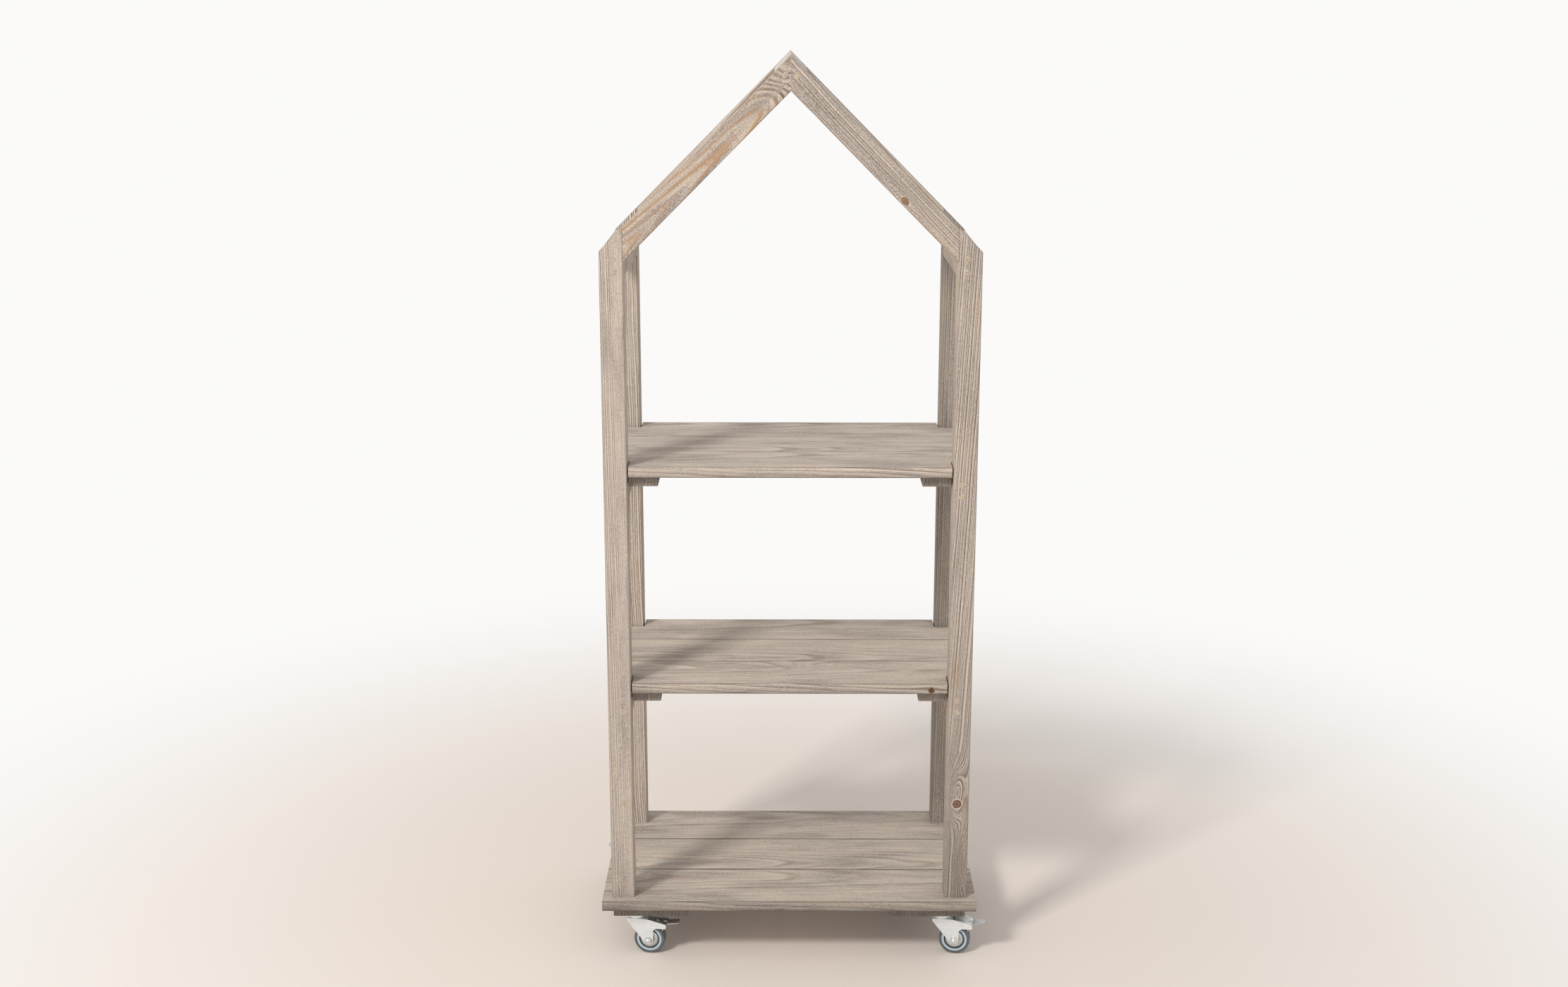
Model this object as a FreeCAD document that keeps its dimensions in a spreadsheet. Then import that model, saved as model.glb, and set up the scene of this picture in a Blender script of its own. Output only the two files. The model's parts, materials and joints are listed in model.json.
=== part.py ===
import FreeCAD, Part
import math
import os
import re
import Sketcher
from FreeCAD import Placement, Rotation, Vector

# House-shaped freestanding shelf on four braked castors.
# Millimetres, +Z up, front towards -Y, origin on the floor under the middle of the shelf.

doc = FreeCAD.newDocument("house_shelf")
sheet = doc.addObject("Spreadsheet::Sheet", "sizes")

sizes = {
    # frame of posts, rafters and rails
    "frame_width": 570,
    "frame_depth": 334,
    "post_width": 36,
    "post_depth": 40,
    "rafter_width": 36,
    "rail_height": 40,
    "roof_slope": 45,
    "arris_radius": 2,
    # heights between one top surface and the next
    "lower_shelf_rise": 363,
    "upper_shelf_rise": 348,
    "eave_rise": 327,
    # boards of the shelves and the base
    "board_thickness": 17,
    "plank_seam": 1,
    "plank_arris": 1.2,
    "base_overhang": 15,
    "shelf_setback": 2,
    "notch_clearance": 2,
    # battens under the boards
    "batten_thickness": 16,
    "shelf_batten_width": 45,
    "shelf_batten_gap": 1.5,
    "shelf_batten_setback": 12,
    "base_batten_width": 122,
    "base_batten_inset": 16,
    "base_batten_side_inset": 17,
    # screws of the frame and the fillers over their heads
    "frame_screw_diameter": 4,
    "frame_screw_length": 60,
    "frame_head_diameter": 8,
    "frame_head_height": 3,
    "filler_depth": 4,
    "rail_screw_inset": 22,
    "rail_screw_spacing": 18,
    "ridge_screw_drop": 28,
    "ridge_screw_offset": 9,
    # screws that hold the boards to the battens
    "plank_screw_diameter": 3.5,
    "plank_screw_length": 27,
    "plank_head_diameter": 7,
    "plank_head_height": 2.5,
    "base_screw_inset": 20,
    # castor head with the skirt of its race, and the socket for its stem
    "castor_height": 73,
    "castor_inset": 52,
    "castor_front_inset": 43,
    "castor_turn": -9,
    "head_thickness": 2.5,
    "skirt_thickness": 1.6,
    "skirt_depth": 4.6,
    "skirt_round": 0.6,
    "socket_diameter": 13,
    # swivel bearing, whose kingpin goes on upwards as the stem
    "ball_diameter": 3.6,
    "kingpin_diameter": 9,
    "stem_length": 15,
    "kingpin_head_diameter": 16,
    "kingpin_head_height": 2.5,
    "running_clearance": 0.08,
    "seat_clearance": 0.3,
    # fork
    "crown_radius": 15.5,
    "crown_height": 5,
    "crown_rim_height": 3,
    "fork_sheet": 2.2,
    "fork_inner_width": 22.8,
    "leg_front": 17,
    "leg_boss_radius": 7.5,
    "web_reach": 19.5,
    "fork_reach": 51,
    "fork_tip_height": 7.5,
    "fork_tip_drop": 8,
    "fork_arch_radius": 6.5,
    "fork_corner_radius": 3,
    # wheel and tyre
    "wheel_diameter": 50,
    "wheel_trail": 22,
    "hub_radius": 7,
    "hub_clearance": 0.4,
    "disc_width": 14.5,
    "rim_width": 16.5,
    "rim_radius": 22.3,
    "groove_radius": 15.6,
    "groove_width": 2.4,
    "groove_depth": 2,
    "tyre_width": 18,
    "tyre_shoulder": 2.2,
    # axle bolt and nut
    "axle_diameter": 6,
    "hex_width": 10,
    "bolt_head_height": 4,
    "nut_height": 5,
    "bolt_end": 1.5,
    # brake pedal, hung on two dimples of the fork
    "pivot_height": 25,
    "pivot_offset": 6.5,
    "pivot_diameter": 4,
    "pedal_sheet": 1.5,
    "pedal_width": 22,
    "pedal_tab_width": 16,
    "pedal_slot_length": 5,
    "pedal_slot_width": 4,
    "pedal_lug_length": 4,
    "pedal_lug_width": 5,
    "pedal_lug_height": 1.2,
    "pedal_ear_radius": 3.8,
    "pedal_gap": 2.5,
    "pedal_rise": 8,
    "pedal_fall": 4.2,
    "pedal_tab_length": 20,
    "pedal_tab_rise": 3,
    "shoe_width": 14,
    "shoe_clearance": 0.4,
    # one overrun for every cut that passes a face
    "overrun": 5,
}

for row, (alias, number) in enumerate(sizes.items(), start=1):
    sheet.set(f"A{row}", alias)
    sheet.set(f"B{row}", str(number))
    sheet.setAlias(f"B{row}", alias)
doc.recompute()

# Places that several pieces share, as formulas of the sheet's own names.
half_width = "(frame_width / 2)"
half_depth = "(frame_depth / 2)"
inner_side = "(frame_width / 2 - post_width)"
inner_depth = "(frame_depth - 2 * post_depth)"
board_top = "(castor_height + batten_thickness)"
base_top = f"({board_top} + board_thickness)"
lower_top = f"({base_top} + lower_shelf_rise)"
upper_top = f"({lower_top} + upper_shelf_rise)"
eave = f"({upper_top} + eave_rise)"
apex = f"({eave} + frame_width / 2 * tan(roof_slope))"
mitre = "(rafter_width / cos(roof_slope))"
shelf_length = "(frame_width - 2 * shelf_setback)"
shelf_depth = "(frame_depth - 2 * shelf_setback)"
base_length = "(frame_width + 2 * base_overhang)"
base_depth = "(frame_depth + 2 * base_overhang)"
swivel_x = f"({base_length} / 2 - castor_inset)"
swivel_y = f"({base_depth} / 2 - castor_front_inset)"
wheel_radius = "(wheel_diameter / 2)"
crown_top = "(castor_height - head_thickness - ball_diameter - seat_clearance)"
web_top = f"({crown_top} - crown_height)"
web_under = f"({web_top} - fork_sheet)"
fork_width = "(fork_inner_width + 2 * fork_sheet)"
pivot_x = "(wheel_trail + pivot_offset)"
pivot_z = "(wheel_diameter / 2 + pivot_height)"
stud_length = "((fork_inner_width - tyre_width) / 2 - 2 * seat_clearance)"

# a count and the share by which two equal lengths may differ in a drawing
balls_in_race = 10
close_share = 1e-6


def in_cells(formula):
    return re.sub(r"[a-z_]+", lambda word: f"sizes.{word[0]}" if word[0] in sizes else word[0], formula)


def bind(thing, path, formula):
    thing.setExpression(path, in_cells(formula))


def size(formula):
    return float(sheet.evalExpression(in_cells(formula)))


def same(one, other):
    return math.isclose(one, other, rel_tol=close_share)


def new_body(label):
    body = doc.addObject("PartDesign::Body", label)
    body.Label = label
    return body


def place(body, x="0", y="0", z="0", turn=0):
    body.Placement = Placement(Vector(), Rotation(Vector(0, 0, 1), turn))
    for axis, formula in zip("xyz", (x, y, z)):
        bind(body, f"Placement.Base.{axis}", formula)


def origin_plane(body, role):
    return next(plane for plane in body.Origin.OriginFeatures if plane.Role == role)


def new_sketch(body, role, offset=None):
    sketch = body.newObject("Sketcher::SketchObject", f"{body.Name}_sketch")
    sketch.AttachmentSupport = [(origin_plane(body, role), "")]
    sketch.MapMode = "FlatFace"
    if offset:
        bind(sketch, "AttachmentOffset.Base.z", offset)
    return sketch


def fix_point(sketch, geometry, end, name, x, y):
    for axis, kind, formula in (("x", "DistanceX", x), ("y", "DistanceY", y)):
        index = sketch.addConstraint(Sketcher.Constraint(kind, -1, 1, geometry, end, 1.0))
        sketch.renameConstraint(index, f"{name}{axis}")
        bind(sketch, f"Constraints.{name}{axis}", formula)


def draw_outline(sketch, corners):
    # A closed outline of straight lines, each corner held by its own two formulas.
    # The first guess is a round polygon, in the order in which the corners come.
    count = len(corners)
    step = 2 * math.pi / count
    guess = [Vector(math.cos(step * k), math.sin(step * k), 0) for k in range(count)]
    first = sketch.GeometryCount
    for k in range(count):
        sketch.addGeometry(Part.LineSegment(guess[k], guess[(k + 1) % count]))
    for k in range(count):
        sketch.addConstraint(Sketcher.Constraint("Coincident", first + k, 2, first + (k + 1) % count, 1))
    for k, (x, y) in enumerate(corners):
        fix_point(sketch, first + k, 1, f"corner{first + k}", x, y)


def draw_circles(sketch, centres, diameter):
    for x, y in centres:
        circle = sketch.addGeometry(Part.Circle(Vector(1, 1, 0), Vector(0, 0, 1), 1))
        index = sketch.addConstraint(Sketcher.Constraint("Diameter", circle, 1.0))
        sketch.renameConstraint(index, f"circle{circle}")
        bind(sketch, f"Constraints.circle{circle}", diameter)
        fix_point(sketch, circle, 3, f"centre{circle}", x, y)


def add_pad(body, sketch, length, symmetric=False, reverse=False):
    pad = body.newObject("PartDesign::Pad", f"{body.Name}_pad")
    pad.Profile = sketch
    pad.SideType = "Symmetric" if symmetric else "One side"
    pad.Reversed = reverse
    bind(pad, "Length", length)
    return pad


def add_pocket(body, sketch, length, symmetric=False, reverse=False):
    doc.recompute()
    before = body.Shape.Volume
    pocket = body.newObject("PartDesign::Pocket", f"{body.Name}_pocket")
    pocket.Profile = sketch
    pocket.SideType = "Symmetric" if symmetric else "One side"
    pocket.Reversed = reverse
    bind(pocket, "Length", length)
    doc.recompute()
    if not body.Shape.Volume < before:
        raise RuntimeError(f"{pocket.Name} cuts nothing")
    return pocket


def add_revolution(body, sketch, role):
    revolution = body.newObject("PartDesign::Revolution", f"{body.Name}_revolution")
    revolution.Profile = sketch
    axis = next(line for line in body.Origin.OriginFeatures if line.Role == role)
    revolution.ReferenceAxis = (axis, [""])
    revolution.Angle = 360
    return revolution


def add_screw_holes(body, sketch, diameter, head_diameter, head_depth, reverse=False):
    doc.recompute()
    before = body.Shape.Volume
    hole = body.newObject("PartDesign::Hole", f"{body.Name}_hole")
    hole.Profile = sketch
    hole.Reversed = reverse
    hole.DepthType = "ThroughAll"
    hole.HoleCutType = "Counterbore"
    bind(hole, "Diameter", diameter)
    bind(hole, "HoleCutDiameter", head_diameter)
    bind(hole, "HoleCutDepth", head_depth)
    doc.recompute()
    if not body.Shape.Volume < before:
        raise RuntimeError(f"{hole.Name} cuts nothing")
    return hole


def round_edges(body, radius, wanted):
    doc.recompute()
    base = body.Tip
    names = [f"Edge{number}" for number, edge in enumerate(base.Shape.Edges, start=1) if wanted(edge)]
    fillet = body.newObject("PartDesign::Fillet", f"{body.Name}_fillet")
    fillet.Base = (base, names)
    bind(fillet, "Radius", radius)
    return fillet


def along(axis):
    def wanted(edge):
        if edge.Curve.TypeId != "Part::GeomLine":
            return False
        return same(abs(edge.tangentAt(edge.FirstParameter).dot(axis)), 1)
    return wanted


def circle_of(radius):
    def wanted(edge):
        return edge.Curve.TypeId == "Part::GeomCircle" and same(edge.Curve.Radius, radius)
    return wanted


def circle_places(body, sketch):
    # Where the circles of a sketch lie in the whole part.
    return [body.Placement.multVec(sketch.Placement.multVec(circle.Center)) for circle in sketch.Geometry]


across = Vector(1, 0, 0)
depthwise = Vector(0, 1, 0)
upright = Vector(0, 0, 1)
ends = {"front": (-1, 0), "rear": (1, 180)}
sides = {"left": -1, "right": 1}

# places and directions of the screws, filled in as the holes are drilled
frame_screw_seats = []
plank_screw_seats = []
stem_seats = []


# Posts and rafters: the rear pair is the front pair turned half round.
def rail_levels(shelf_top):
    middle = f"{shelf_top} - board_thickness - rail_height / 2"
    return [f"{middle} - rail_screw_spacing / 2", f"{middle} + rail_screw_spacing / 2"]


eave_levels = [f"{eave} - rail_height / 2 {sign} rail_screw_spacing / 2" for sign in "-+"]
post_screw_levels = rail_levels(lower_top) + rail_levels(upper_top) + eave_levels


def make_post(end, side):
    body = new_body(f"post_{end}_{side}")
    out, turn = ends[end]
    sign = -out * sides[side]
    place(body, y=f"{out} * {half_depth}", turn=turn)
    outline = new_sketch(body, "XZ_Plane")
    draw_outline(outline, [
        (f"{sign} * {inner_side}", base_top),
        (f"{sign} * {half_width}", base_top),
        (f"{sign} * {half_width}", eave),
        (f"{sign} * {inner_side}", f"{eave} + post_width * tan(roof_slope)"),
    ])
    add_pad(body, outline, "post_depth", reverse=True)
    round_edges(body, "arris_radius", along(upright))
    drill = new_sketch(body, "XZ_Plane")
    screw_line = f"{sign} * ({half_width} - rail_screw_inset)"
    draw_circles(drill, [(screw_line, level) for level in post_screw_levels], "frame_screw_diameter")
    add_screw_holes(body, drill, "frame_screw_diameter", "frame_head_diameter",
                    "filler_depth + frame_head_height")
    foot = new_sketch(body, "XY_Plane", base_top)
    foot_middle = f"{sign} * ({half_width} - post_width / 2)"
    draw_circles(foot, [(foot_middle, "post_depth / 2")], "frame_screw_diameter")
    add_pocket(body, foot, "frame_screw_length - board_thickness", reverse=True)
    frame_screw_seats.extend((point, depthwise * -out, True) for point in circle_places(body, drill))
    return body


def make_rafter(end, side):
    body = new_body(f"rafter_{end}_{side}")
    out, turn = ends[end]
    sign = -out * sides[side]
    place(body, y=f"{out} * {half_depth}", turn=turn)
    outline = new_sketch(body, "XZ_Plane")
    joint_top = f"({eave} + post_width * tan(roof_slope))"
    draw_outline(outline, [
        ("0", f"{apex} - {mitre}"),
        (f"{sign} * {inner_side}", f"{joint_top} - {mitre}"),
        (f"{sign} * {inner_side}", joint_top),
        ("0", apex),
    ])
    add_pad(body, outline, "post_depth", reverse=True)
    slope = math.radians(size("roof_slope"))
    round_edges(body, "arris_radius", along(Vector(sign * math.cos(slope), 0, -math.sin(slope))))
    drill = new_sketch(body, "XZ_Plane")
    ridge_seat = (f"{sign} * ridge_screw_offset", f"{apex} - ridge_screw_drop")
    draw_circles(drill, [ridge_seat], "frame_screw_diameter")
    add_screw_holes(body, drill, "frame_screw_diameter", "frame_head_diameter",
                    "filler_depth + frame_head_height")
    frame_screw_seats.extend((point, depthwise * -out, True) for point in circle_places(body, drill))
    return body


# Rails run from front to back between the posts, with pilot holes in both ends.
pilot_depth = "(frame_screw_length + filler_depth - post_depth)"


def make_rail(label, outline_corners, pilots):
    body = new_body(label)
    outline = new_sketch(body, "XZ_Plane")
    draw_outline(outline, outline_corners)
    add_pad(body, outline, inner_depth, symmetric=True)
    round_edges(body, "arris_radius", along(depthwise))
    drill = new_sketch(body, "XZ_Plane", f"{inner_depth} / 2")
    draw_circles(drill, pilots, "frame_screw_diameter")
    pocket = add_pocket(body, drill, pilot_depth)
    mirror = body.newObject("PartDesign::Mirrored", f"{label}_mirror")
    mirror.Originals = [pocket]
    mirror.MirrorPlane = (origin_plane(body, "XZ_Plane"), [""])
    body.Tip = mirror
    return body


def make_side_rail(label, side, top, levels):
    sign = sides[side]
    corners = [
        (f"{sign} * {inner_side}", f"{top} - rail_height"),
        (f"{sign} * {half_width}", f"{top} - rail_height"),
        (f"{sign} * {half_width}", top),
        (f"{sign} * {inner_side}", top),
    ]
    screw_line = f"{sign} * ({half_width} - rail_screw_inset)"
    return make_rail(label, corners, [(screw_line, level) for level in levels])


def make_ridge_rail():
    reach = "rafter_width * cos(roof_slope)"
    drop = "rafter_width * sin(roof_slope)"
    corners = [
        ("0", apex),
        (f"-{reach}", f"{apex} - {drop}"),
        ("0", f"{apex} - 2 * {drop}"),
        (reach, f"{apex} - {drop}"),
    ]
    pilots = [(f"{sign} * ridge_screw_offset", f"{apex} - ridge_screw_drop") for sign in (-1, 1)]
    return make_rail("ridge_rail", corners, pilots)


# Planks: three to a layer, side by side with a narrow seam.
layers = {"front": -1, "middle": 0, "rear": 1}


def plank_width(depth):
    return f"(({depth} - 2 * plank_seam) / 3)"


def plank_middle(place_name, depth):
    return f"{layers[place_name]} * ({plank_width(depth)} + plank_seam)"


def batten_screw_row(x, depth):
    return [(x, plank_middle(place_name, depth)) for place_name in layers]


shelf_batten_middle = f"({inner_side} - shelf_batten_gap - shelf_batten_width / 2)"
base_batten_outer = f"({base_length} / 2 - base_batten_side_inset)"
base_screw_line = f"({base_batten_outer} - base_batten_width + base_screw_inset)"


def finish_plank(body, screw_line):
    round_edges(body, "plank_arris", along(across))
    pilot = new_sketch(body, "XY_Plane")
    draw_circles(pilot, [(f"{sign} * {screw_line}", "0") for sign in (-1, 1)], "plank_screw_diameter")
    add_pocket(body, pilot, "plank_screw_length - batten_thickness", reverse=True)


def make_shelf_plank(shelf, place_name, top):
    body = new_body(f"{shelf}_plank_{place_name}")
    place(body, y=plank_middle(place_name, shelf_depth), z=f"{top} - board_thickness")
    half = f"{plank_width(shelf_depth)} / 2"
    end = f"{shelf_length} / 2"
    outline = new_sketch(body, "XY_Plane")
    if place_name == "middle":
        corners = [(f"-{end}", f"-{half}"), (end, f"-{half}"), (end, half), (f"-{end}", half)]
    else:
        # the outer corners are cut away round the posts
        out = layers[place_name]
        tongue = f"({inner_side} - notch_clearance)"
        notch = f"{out} * ({half} - post_depth - notch_clearance + shelf_setback)"
        outer = f"{out} * {half}"
        inner = f"{-out} * {half}"
        corners = [
            (f"-{end}", inner), (end, inner), (end, notch), (tongue, notch),
            (tongue, outer), (f"-{tongue}", outer), (f"-{tongue}", notch), (f"-{end}", notch),
        ]
    draw_outline(outline, corners)
    add_pad(body, outline, "board_thickness")
    finish_plank(body, shelf_batten_middle)
    return body


def make_base_plank(place_name):
    body = new_body(f"base_plank_{place_name}")
    place(body, y=plank_middle(place_name, base_depth), z=board_top)
    half = f"{plank_width(base_depth)} / 2"
    end = f"{base_length} / 2"
    outline = new_sketch(body, "XY_Plane")
    draw_outline(outline, [(f"-{end}", f"-{half}"), (end, f"-{half}"), (end, half), (f"-{end}", half)])
    add_pad(body, outline, "board_thickness")
    finish_plank(body, base_screw_line)
    out = layers[place_name]
    if out:
        drill = new_sketch(body, "XY_Plane")
        post_middle = f"{out} * ({half} - base_overhang - post_depth / 2)"
        feet = [(f"{sign} * ({half_width} - post_width / 2)", post_middle) for sign in (-1, 1)]
        draw_circles(drill, feet, "frame_screw_diameter")
        add_screw_holes(body, drill, "frame_screw_diameter", "frame_head_diameter",
                        "frame_head_height", reverse=True)
        frame_screw_seats.extend((point, upright, False) for point in circle_places(body, drill))
    return body


# Battens run from front to back under the boards.
def make_batten(label, middle, width, length, under, screw_row):
    body = new_body(label)
    place(body, z=under)
    outline = new_sketch(body, "XY_Plane")
    near = f"{middle} - {width} / 2"
    far = f"{middle} + {width} / 2"
    draw_outline(outline, [
        (near, f"-{length} / 2"), (far, f"-{length} / 2"), (far, f"{length} / 2"), (near, f"{length} / 2"),
    ])
    add_pad(body, outline, "batten_thickness")
    round_edges(body, "plank_arris", along(depthwise))
    drill = new_sketch(body, "XY_Plane")
    draw_circles(drill, screw_row, "plank_screw_diameter")
    add_screw_holes(body, drill, "plank_screw_diameter", "plank_head_diameter",
                    "plank_head_height", reverse=True)
    plank_screw_seats.extend((point, upright) for point in circle_places(body, drill))
    return body


def make_shelf_batten(shelf, side, top):
    sign = sides[side]
    length = f"({shelf_depth} - 2 * shelf_batten_setback)"
    row = batten_screw_row(f"{sign} * {shelf_batten_middle}", shelf_depth)
    return make_batten(f"{shelf}_batten_{side}", f"{sign} * {shelf_batten_middle}", "shelf_batten_width",
                       length, f"{top} - board_thickness - batten_thickness", row)


def make_base_batten(side):
    sign = sides[side]
    middle = f"{sign} * ({base_batten_outer} - base_batten_width / 2)"
    length = f"({base_depth} - 2 * base_batten_inset)"
    row = batten_screw_row(f"{sign} * {base_screw_line}", base_depth)
    body = make_batten(f"base_batten_{side}", middle, "base_batten_width", length, "castor_height", row)
    sockets = new_sketch(body, "XY_Plane")
    swivels = [(f"{sign} * {swivel_x}", f"{out} * {swivel_y}") for out in (-1, 1)]
    draw_circles(sockets, swivels, "socket_diameter")
    add_pocket(body, sockets, "batten_thickness + overrun", reverse=True)
    stem_seats.extend(circle_places(body, sockets))
    return body


# Castor head: a pressed cup against the batten, whose skirt keeps the balls in.
def make_castor_head(end, side):
    body = new_body(f"castor_head_{end}_{side}")
    out = ends[end][0]
    place(body, f"{sides[side]} * {swivel_x}", f"{out} * {swivel_y}", "castor_height - head_thickness")
    section = new_sketch(body, "XZ_Plane")
    bore = "kingpin_diameter / 2"
    inner = "(crown_radius + 2 * seat_clearance)"
    outer = f"({inner} + skirt_thickness)"
    draw_outline(section, [
        (bore, "0"), (inner, "0"), (inner, "-skirt_depth"),
        (outer, "-skirt_depth"), (outer, "head_thickness"), (bore, "head_thickness"),
    ])
    add_revolution(body, section, "Z_Axis")
    round_edges(body, "skirt_round", circle_of(size(outer)))
    return body


# Castor pieces below stand in the castor's own frame: X the way the wheel trails, Y along the axle.
def castor_place(body, end, side):
    out, half_turn = ends[end]
    turn = size("castor_turn") + half_turn
    place(body, f"{sides[side]} * {swivel_x}", f"{out} * {swivel_y}", turn=turn)


def axle_place(body, end, side):
    # the origin of a wheel's piece is the middle of its axle
    out, half_turn = ends[end]
    trail_angle = f"castor_turn + {half_turn}"
    place(body,
          f"{sides[side]} * {swivel_x} + wheel_trail * cos({trail_angle})",
          f"{out} * {swivel_y} + wheel_trail * sin({trail_angle})",
          wheel_radius, size("castor_turn") + half_turn)


def make_fork(end, side):
    body = new_body(f"castor_fork_{end}_{side}")
    castor_place(body, end, side)
    cheek = new_sketch(body, "XZ_Plane")
    leg_back = "(wheel_trail + leg_boss_radius)"
    boss_touch_x = "(wheel_trail - leg_boss_radius / sqrt(2))"
    boss_touch_z = f"({wheel_radius} - leg_boss_radius / sqrt(2))"
    tip_top = f"({web_top} - fork_tip_drop)"
    tip_under = f"({tip_top} - fork_tip_height)"
    draw_outline(cheek, [
        (boss_touch_x, boss_touch_z),
        (leg_back, wheel_radius),
        (leg_back, tip_under),
        ("fork_reach", tip_under),
        ("fork_reach", tip_top),
        ("web_reach", web_top),
        ("-leg_front", web_top),
    ])
    add_pad(body, cheek, fork_width, symmetric=True)
    boss = new_sketch(body, "XZ_Plane")
    draw_circles(boss, [("wheel_trail", wheel_radius)], "2 * leg_boss_radius")
    add_pad(body, boss, fork_width, symmetric=True)
    boss_top = size(f"{wheel_radius} + leg_boss_radius")

    def corner_at(x):
        def wanted(edge):
            middle = edge.CenterOfMass
            return along(depthwise)(edge) and middle.z > boss_top and same(middle.x, size(x))
        return wanted

    round_edges(body, "fork_arch_radius", corner_at(leg_back))
    round_edges(body, "fork_corner_radius", corner_at("fork_reach"))
    round_edges(body, "fork_corner_radius", corner_at("-leg_front"))
    inside = new_sketch(body, "XZ_Plane")
    below = f"{wheel_radius} - leg_boss_radius - overrun"
    draw_outline(inside, [
        ("-leg_front - overrun", below),
        ("fork_reach + overrun", below),
        ("fork_reach + overrun", f"{web_top} + overrun"),
        ("web_reach", f"{web_top} + overrun"),
        ("web_reach", web_under),
        ("-leg_front - overrun", web_under),
    ])
    add_pocket(body, inside, "fork_inner_width", symmetric=True)
    crown = new_sketch(body, "XZ_Plane")
    crown_bore = "kingpin_diameter / 2 + running_clearance"
    draw_outline(crown, [
        (crown_bore, web_under),
        ("fork_inner_width / 2", web_under),
        ("crown_radius", f"{crown_top} - crown_rim_height"),
        ("crown_radius", crown_top),
        (crown_bore, crown_top),
    ])
    add_revolution(body, crown, "Z_Axis")
    bore = new_sketch(body, "XY_Plane", f"{web_under} - overrun")
    draw_circles(bore, [("0", "0")], f"2 * ({crown_bore})")
    add_pocket(body, bore, f"{crown_top} - {web_under} + 2 * overrun", reverse=True)
    axle = new_sketch(body, "XZ_Plane")
    draw_circles(axle, [("wheel_trail", wheel_radius)], "axle_diameter")
    add_pocket(body, axle, f"{fork_width} + overrun", symmetric=True)
    # each pivot dimple is a stud on the inside of a cheek and a dent on its outside
    for sign in (-1, 1):
        stud = new_sketch(body, "XZ_Plane", f"{sign} * fork_inner_width / 2")
        draw_circles(stud, [(pivot_x, pivot_z)], "pivot_diameter")
        add_pad(body, stud, stud_length, reverse=sign > 0)
        dent = new_sketch(body, "XZ_Plane", f"{sign} * {fork_width} / 2")
        draw_circles(dent, [(pivot_x, pivot_z)], "pivot_diameter")
        add_pocket(body, dent, "fork_sheet / 2", reverse=sign < 0)
    return body


def make_wheel(end, side):
    body = new_body(f"castor_wheel_{end}_{side}")
    axle_place(body, end, side)
    section = new_sketch(body, "XY_Plane")
    hub_half = "(fork_inner_width / 2 - hub_clearance)"
    half = [
        ("axle_diameter / 2 + running_clearance", hub_half),
        ("hub_radius", hub_half),
        ("hub_radius", "disc_width / 2"),
        ("groove_radius - groove_width / 2", "disc_width / 2"),
        ("groove_radius", "disc_width / 2 - groove_depth"),
        ("groove_radius + groove_width / 2", "rim_width / 2"),
        ("rim_radius", "rim_width / 2"),
    ]
    draw_outline(section, half + [(x, f"-({y})") for x, y in reversed(half)])
    add_revolution(body, section, "Y_Axis")
    return body


def make_tyre(end, side):
    body = new_body(f"castor_tyre_{end}_{side}")
    axle_place(body, end, side)
    section = new_sketch(body, "XY_Plane")
    draw_outline(section, [
        ("rim_radius", "-tyre_width / 2"),
        (wheel_radius, "-tyre_width / 2"),
        (wheel_radius, "tyre_width / 2"),
        ("rim_radius", "tyre_width / 2"),
    ])
    add_revolution(body, section, "Y_Axis")
    round_edges(body, "tyre_shoulder", circle_of(size(wheel_radius)))
    return body


def make_axle_bolt(end, side):
    corner = "hex_width / sqrt(3)"
    hexagon = [(f"{corner} * cos({60 * k})", f"{corner} * sin({60 * k})") for k in range(6)]
    cheek = f"({fork_width} / 2)"
    bolt = new_body(f"axle_shank_{end}_{side}")
    axle_place(bolt, end, side)
    shank = new_sketch(bolt, "XZ_Plane", f"{cheek} + nut_height + bolt_end")
    draw_circles(shank, [("0", "0")], "axle_diameter")
    add_pad(bolt, shank, f"2 * {cheek} + nut_height + bolt_end + bolt_head_height", reverse=True)
    head = new_sketch(bolt, "XZ_Plane", f"-{cheek}")
    draw_outline(head, hexagon)
    add_pad(bolt, head, "bolt_head_height", reverse=True)
    nut = new_body(f"axle_nut_{end}_{side}")
    axle_place(nut, end, side)
    ring = new_sketch(nut, "XZ_Plane", f"{cheek} + nut_height")
    draw_outline(ring, hexagon)
    draw_circles(ring, [("0", "0")], "axle_diameter")
    add_pad(nut, ring, "nut_height", reverse=True)
    pair = doc.addObject("Part::Compound", f"axle_bolt_{end}_{side}")
    pair.Label = f"axle_bolt_{end}_{side}"
    pair.Links = [bolt, nut]
    return pair


# how far out along the wheel's radius the brake shoe stands
shoe_share = 0.84


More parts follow.
